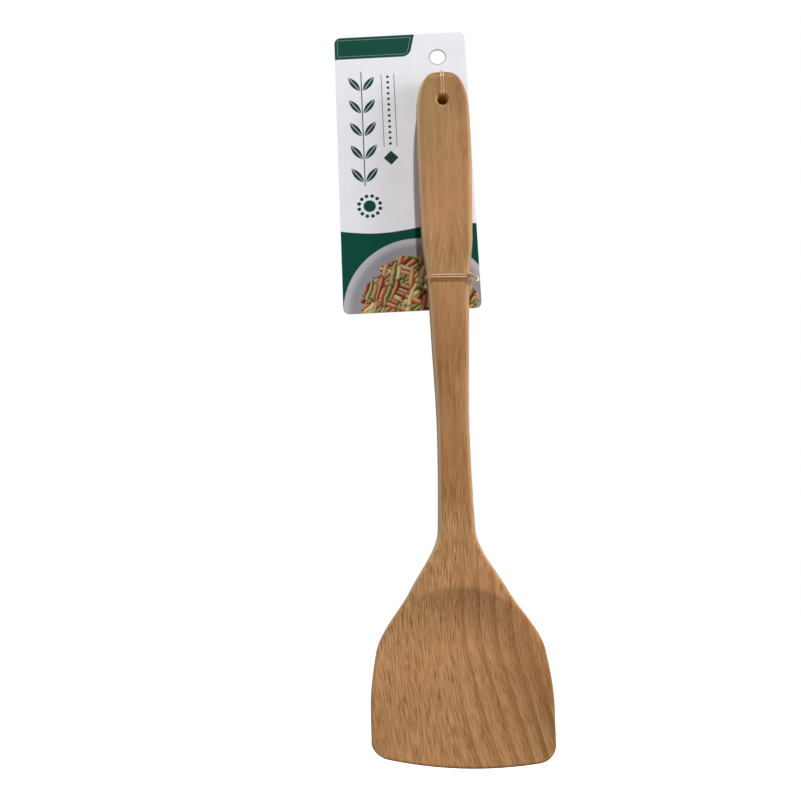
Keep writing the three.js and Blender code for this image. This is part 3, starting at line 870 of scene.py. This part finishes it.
front_print = mixed(tree, inked(ground), front_print, tab_green)
from_plate = length_of(right - plate_right, under - plate_under)
plate_shade = stepped(from_plate, plate_radius - plate_lip, plate_radius - 1)
plate = mixed(tree, plate_shade, plate_grey, plate_rim)
front_print = mixed(tree, inked(from_plate - plate_radius), front_print, plate)
bend_spot = (right / strip_bend_size, under / strip_bend_size)
heap_right = right + (noise(tree, *bend_spot, 2.0) - 0.5) * strip_bend
heap_under = under + (noise(tree, *bend_spot, 8.0) - 0.5) * strip_bend


def vegetable_strips(lean, seed):
    """Strips that lie one way: their colours and each one's chance of lying on top."""
    along = heap_right * math.cos(lean) + heap_under * math.sin(lean)
    across_strips = heap_under * math.cos(lean) - heap_right * math.sin(lean)
    spot = vector_of(tree, along / strip_length + seed, across_strips / strip_width, 0.0)
    cell_inputs = {"Vector": spot, "Scale": 1.0, "Randomness": strip_unevenness}
    cells = add_node(tree, "ShaderNodeTexVoronoi", cell_inputs, voronoi_dimensions="2D")
    edges = add_node(tree, "ShaderNodeTexVoronoi", cell_inputs, voronoi_dimensions="2D",
                     feature="DISTANCE_TO_EDGE")
    chances = add_node(tree, "ShaderNodeSeparateColor", {"Color": cells.outputs["Color"]}).outputs
    ramp = add_node(tree, "ShaderNodeValToRGB", {"Fac": chances[0]})
    ramp.color_ramp.interpolation = "CONSTANT"
    for position, strip_colour in strip_colours[2:]:
        ramp.color_ramp.elements.new(position)
    for element, (position, strip_colour) in zip(ramp.color_ramp.elements, strip_colours):
        element.position = position
        element.color = strip_colour
    middle = add_node(tree, "ShaderNodeSeparateXYZ", {"Vector": cells.outputs["Position"]}).outputs
    below_middle = across_strips / strip_width - Measure(middle["Y"])
    lit = mixed(tree, stepped(below_middle, *shine_span) * shine_share, ramp.outputs[0], strip_shine)
    shaded = mixed(tree, stepped(below_middle, *shade_span) * shade_share, lit, gap_brown)
    inset = Measure(edges.outputs["Distance"])
    strips = mixed(tree, stepped(inset, *gap_span) * gap_share, shaded, gap_brown)
    return strips, Measure(chances[1])


heap = vegetable_strips(math.radians(-38), 0.0)[0]
for lean, seed in ((math.radians(24), 5.0), (math.radians(-74), 11.0)):
    strips, chance = vegetable_strips(lean, seed)
    heap = mixed(tree, chance.by("GREATER_THAN", top_strip_chance), heap, strips)
heap_edge = noise(tree, right / heap_edge_size, under / heap_edge_size, 0.0) * heap_unevenness
front_print = mixed(tree, inked(from_plate + heap_edge - heap_radius), front_print, heap)

# A soft grey ring round the hang hole, which also dips a little in the bumps
hole_ring_edge, hole_ring_share = (0.2, 0.9), 0.75
hole_ring = 1 - stepped(length_of(x, z) - hang_hole_radius / mm, *hole_ring_edge)
front_print = mixed(tree, hole_ring * hole_ring_share, front_print, hole_ring_grey)
feed(shader.inputs["Base Color"], front_print)
feed(shader.inputs["Roughness"], paper_height * 0.2 + 0.42)
raise_bumps(tree, shader, noise(tree, x * 3, y * 3, z * 3) - hole_ring, 0.02)

# Bare greyboard at the back and the cut edges, with pulp fibres and specks
board_pale = colour(206, 202, 194)
board_deep = colour(188, 183, 173)
speck_brown = colour(150, 140, 126)
bare_board, tree, shader = new_material("bare_board", roughness=0.85, specular=0.2)
x, y, z = object_spot(tree)
pulp_spot = vector_of(tree, x / 0.8, y / 0.12, z / 2.4)
board, pulp = mottled(tree, pulp_spot, 5.0, board_pale, board_deep)
specks = stepped(noise(tree, x / 0.45, y / 0.3, z / 0.45, detail=3.0), 0.64, 0.74)
board = mixed(tree, specks * 0.4, board, speck_brown)
feed(shader.inputs["Base Color"], board)
feed(shader.inputs["Roughness"], pulp * 0.3 + 0.65)
raise_bumps(tree, shader, pulp, 0.04)

front_facing, flat_facing = 0.5, 0.99
card_mesh.materials.clear()
card_mesh.materials.append(printed_card)
card_mesh.materials.append(bare_board)
for card_face in shell.faces:
    card_face.material_index = 0 if card_face.normal.y < -front_facing else 1
    card_face.smooth = abs(card_face.normal.y) < flat_facing
shell.to_mesh(card_mesh)
shell.free()
hang_card = placed("printed_hang_card", card_mesh)
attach(hang_card, "root")
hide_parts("hang_card")

# The top tie: thin clear elastic cord, wound twice through the handle's hole, over the grip's end
# and through the card, and tied off behind the card with a barrel knot.
cord_sizes = {
    "Step": 0.2 * mm,
    "Cord radius": cord_radius,
    "Draw length": 3.1 * mm,
    "Draw": 0.05,
}
cord_sides = 14
knot_wraps = 4
knot_wrap_points = 40
knot_core_points = 25
knot_wrap_radius = 0.65 * mm
knot_wrap_pitch = 0.72 * mm
knot_tail = 3 * mm
knot_stand_off = knot_wrap_radius + cord_stand_off

elastic_pale = colour(250, 226, 188)
elastic_deep = colour(234, 198, 150)
clear_elastic, tree, shader = new_material("clear_elastic", roughness=0.2, specular=0.5)
shader.inputs["Transmission Weight"].default_value = 0.65
shader.inputs["IOR"].default_value = 1.42
x, y, z = object_spot(tree)
milky_spot = vector_of(tree, x / 1.5, y / 1.5, z / 1.5)
milky_colour, milky = mottled(tree, milky_spot, 3.0, elastic_pale, elastic_deep)
feed(shader.inputs["Base Color"], milky_colour)
feed(shader.inputs["Roughness"], milky * 0.2 + 0.1)
raise_bumps(tree, shader, milky, 0.02)

cord_tree, base, cord_measures = new_geometry_tree("elastic_cord", cord_sizes)
cord_step, thickness, draw_length, draw = cord_measures
route = made_by(cord_tree, "MeshToCurve", {"Mesh": base})
route_inputs = {"Curve": route, "Length": cord_step}
route = made_by(cord_tree, "ResampleCurve", route_inputs, mode="LENGTH")
along_cord = Measure(cord_tree.nodes.new("GeometryNodeSplineParameter").outputs["Length"])
drawn = (along_cord / draw_length * (2 * math.pi)).by("SINE") * draw
end_tree(cord_tree, round_bar(cord_tree, route, cord_sides, thickness * (1 - drawn)), clear_elastic)


def knot_chains(centre, axis, side, out):
    """A barrel knot: the cord's own wraps round a core whose two ends stick out."""
    wrap_angle = np.linspace(0, 2 * math.pi * knot_wraps, knot_wrap_points * knot_wraps)
    climb = (wrap_angle / (2 * math.pi) - knot_wraps / 2) * knot_wrap_pitch
    round_core = np.outer(np.cos(wrap_angle), side) + np.outer(np.sin(wrap_angle), out)
    wraps = centre + np.outer(climb, axis) + knot_wrap_radius * round_core
    core = centre + np.outer(np.linspace(-knot_tail, knot_tail, knot_core_points), axis)
    return [wraps, core]


right_way = np.array([1.0, 0, 0])
back_way = np.array([0, 1.0, 0])
up_way = np.array([0, 0, 1.0])
top_knot = np.array([spatula_x, behind_card + knot_wrap_radius, top_loop[0][0]])
top_chains = [top_route, *knot_chains(top_knot, right_way, back_way, up_way)]
top_base = chain_mesh("top_tie_route", top_chains)
top_tie = plain_piece("top_cord_tie", top_base, cord_tree, cord_sizes)
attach(top_tie, "root")
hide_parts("top_tie")

# The neck tie: the same cord, wound twice round the foot of the grip and through the card.
# Its knot lies on the grip's right front edge, with a small bow that dips to the right.
bow_length = 5 * mm
bow_width = 2.8 * mm
bow_dip = math.radians(38)
bow_start = math.radians(20)
bow_points = 60
edge_out_way = (right_way - back_way) / math.sqrt(2)
round_edge_way = (right_way + back_way) / math.sqrt(2)
edge_centre = np.array([neck_right - neck_tie_round, neck_tie_front + neck_tie_round, neck_tie_z])
neck_knot = edge_centre + edge_out_way * (neck_tie_round - cord_stand_off + knot_stand_off)
bow_angle = np.linspace(bow_start, 2 * math.pi - bow_start, bow_points)
bow_out = bow_length / 2 * (1 - np.cos(bow_angle))
bow_aside = bow_width / 2 * np.sin(bow_angle)
bow_right = bow_out * math.cos(bow_dip) + bow_aside * math.sin(bow_dip)
bow_up = bow_aside * math.cos(bow_dip) - bow_out * math.sin(bow_dip)
bow_chain = neck_knot + np.outer(bow_right, right_way) + np.outer(bow_up, up_way)
neck_chains = [neck_route, *knot_chains(neck_knot, round_edge_way, edge_out_way, up_way), bow_chain]
neck_base = chain_mesh("neck_tie_route", neck_chains)
neck_tie = plain_piece("neck_cord_tie", neck_base, cord_tree, cord_sizes)
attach(neck_tie, "root")
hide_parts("neck_tie")

# The studio: a plain pale floor well under the hanging card, soft lamps and a white surround.
# The camera stands in front of the blade and looks a little up, as the photograph was taken.
floor_z = -0.64
floor_half = 4.0
floor_grey = (0.24, 0.24, 0.24, 1)
floor_fade, near_glow = (450, 1300), 0.7
floor_mesh = bpy.data.meshes.new("studio_floor")
floor_corners = [(-floor_half, -floor_half, floor_z), (floor_half, -floor_half, floor_z),
                 (floor_half, floor_half, floor_z), (-floor_half, floor_half, floor_z)]
floor_mesh.from_pydata(floor_corners, [], [(0, 1, 2, 3)])
studio_floor = placed("studio_floor", floor_mesh)
pale_floor, tree, shader = new_material("pale_floor", roughness=0.9, specular=0.1)
shader.inputs["Base Color"].default_value = floor_grey
x, y, z = object_spot(tree)
far_share = stepped(length_of(x, y), *floor_fade)
seen_ray = Measure(tree.nodes.new("ShaderNodeLightPath").outputs["Is Camera Ray"])
glow = seen_ray * (far_share * (1 - near_glow) + near_glow)
floor_glow = add_node(tree, "ShaderNodeEmission", {"Strength": glow})
lit_floor = tree.nodes.new("ShaderNodeAddShader")
feed(lit_floor.inputs[0], shader.outputs[0])
feed(lit_floor.inputs[1], floor_glow.outputs[0])
feed(tree.nodes["Material Output"].inputs["Surface"], lit_floor.outputs[0])
floor_mesh.materials.append(pale_floor)

world = bpy.data.worlds.new("white_surround")
world.use_nodes = True
bpy.context.scene.world = world
tree = world.node_tree
surround = tree.nodes["Background"]
surround.inputs["Color"].default_value = (1, 1, 1, 1)
rays = tree.nodes.new("ShaderNodeLightPath").outputs
seen = Measure(rays["Is Camera Ray"]).at_least(Measure(rays["Is Glossy Ray"]))
seen = seen.at_least(Measure(rays["Is Transmission Ray"]))
surround_light = 0.05
feed(surround.inputs["Strength"], seen * (1 - surround_light) + surround_light)


def add_lamp(name, place, aim, size, power):
    lamp = bpy.data.lights.new(name, "AREA")
    lamp.shape = "DISK"
    lamp.size = size
    lamp.energy = power
    lamp_object = placed(name, lamp)
    lamp_object.location = place
    lamp_object.rotation_euler = (Vector(aim) - Vector(place)).to_track_quat("-Z", "Y").to_euler()


lamp_aim = Vector((spatula_x, 0, -0.19))
lamps = {
    "key_lamp": (Vector((0.19, -1.0, 1.7)), 9.0, 0.4, 730),
    "right_lamp": (Vector((1.0, -0.42, 0.2)), 1.6, 0.9, 16),
    "left_lamp": (Vector((-1.0, -0.5, 0.2)), 1.6, 1.0, 4.5),
    "back_lamp": (Vector((0.2, 1.0, 0.1)), 1.6, 1.0, 20),
}
for lamp_name, (way, distance, size, power) in lamps.items():
    add_lamp(lamp_name, lamp_aim + way.normalized() * distance, lamp_aim, size, power)

camera_elevation = math.radians(-10.5)
camera_azimuth = math.radians(0.9)
camera_roll = math.radians(-1.28)
camera_distance = 440.3 * mm
camera_aim = Vector((-25.23, -8, -199.52)) * mm
picture_side = 801
focal_pixels = 850
towards_camera = Vector((
    math.sin(camera_azimuth) * math.cos(camera_elevation),
    -math.cos(camera_azimuth) * math.cos(camera_elevation),
    math.sin(camera_elevation),
))
camera = bpy.data.cameras.new("front_camera")
camera.sensor_fit = "HORIZONTAL"
camera.lens = camera.sensor_width * focal_pixels / picture_side
camera.clip_start = 0.01
camera_object = placed("front_camera", camera)
level_right = Vector((0, 0, 1)).cross(towards_camera).normalized()
level_up = towards_camera.cross(level_right)
rolled_right = level_right * math.cos(camera_roll) + level_up * math.sin(camera_roll)
rolled_up = towards_camera.cross(rolled_right)
camera_turn = Matrix((rolled_right, rolled_up, towards_camera)).transposed().to_4x4()
camera_place = camera_aim + towards_camera * camera_distance
camera_object.matrix_world = Matrix.Translation(camera_place) @ camera_turn
bpy.context.scene.camera = camera_object
bpy.context.scene.view_settings.view_transform = "Standard"
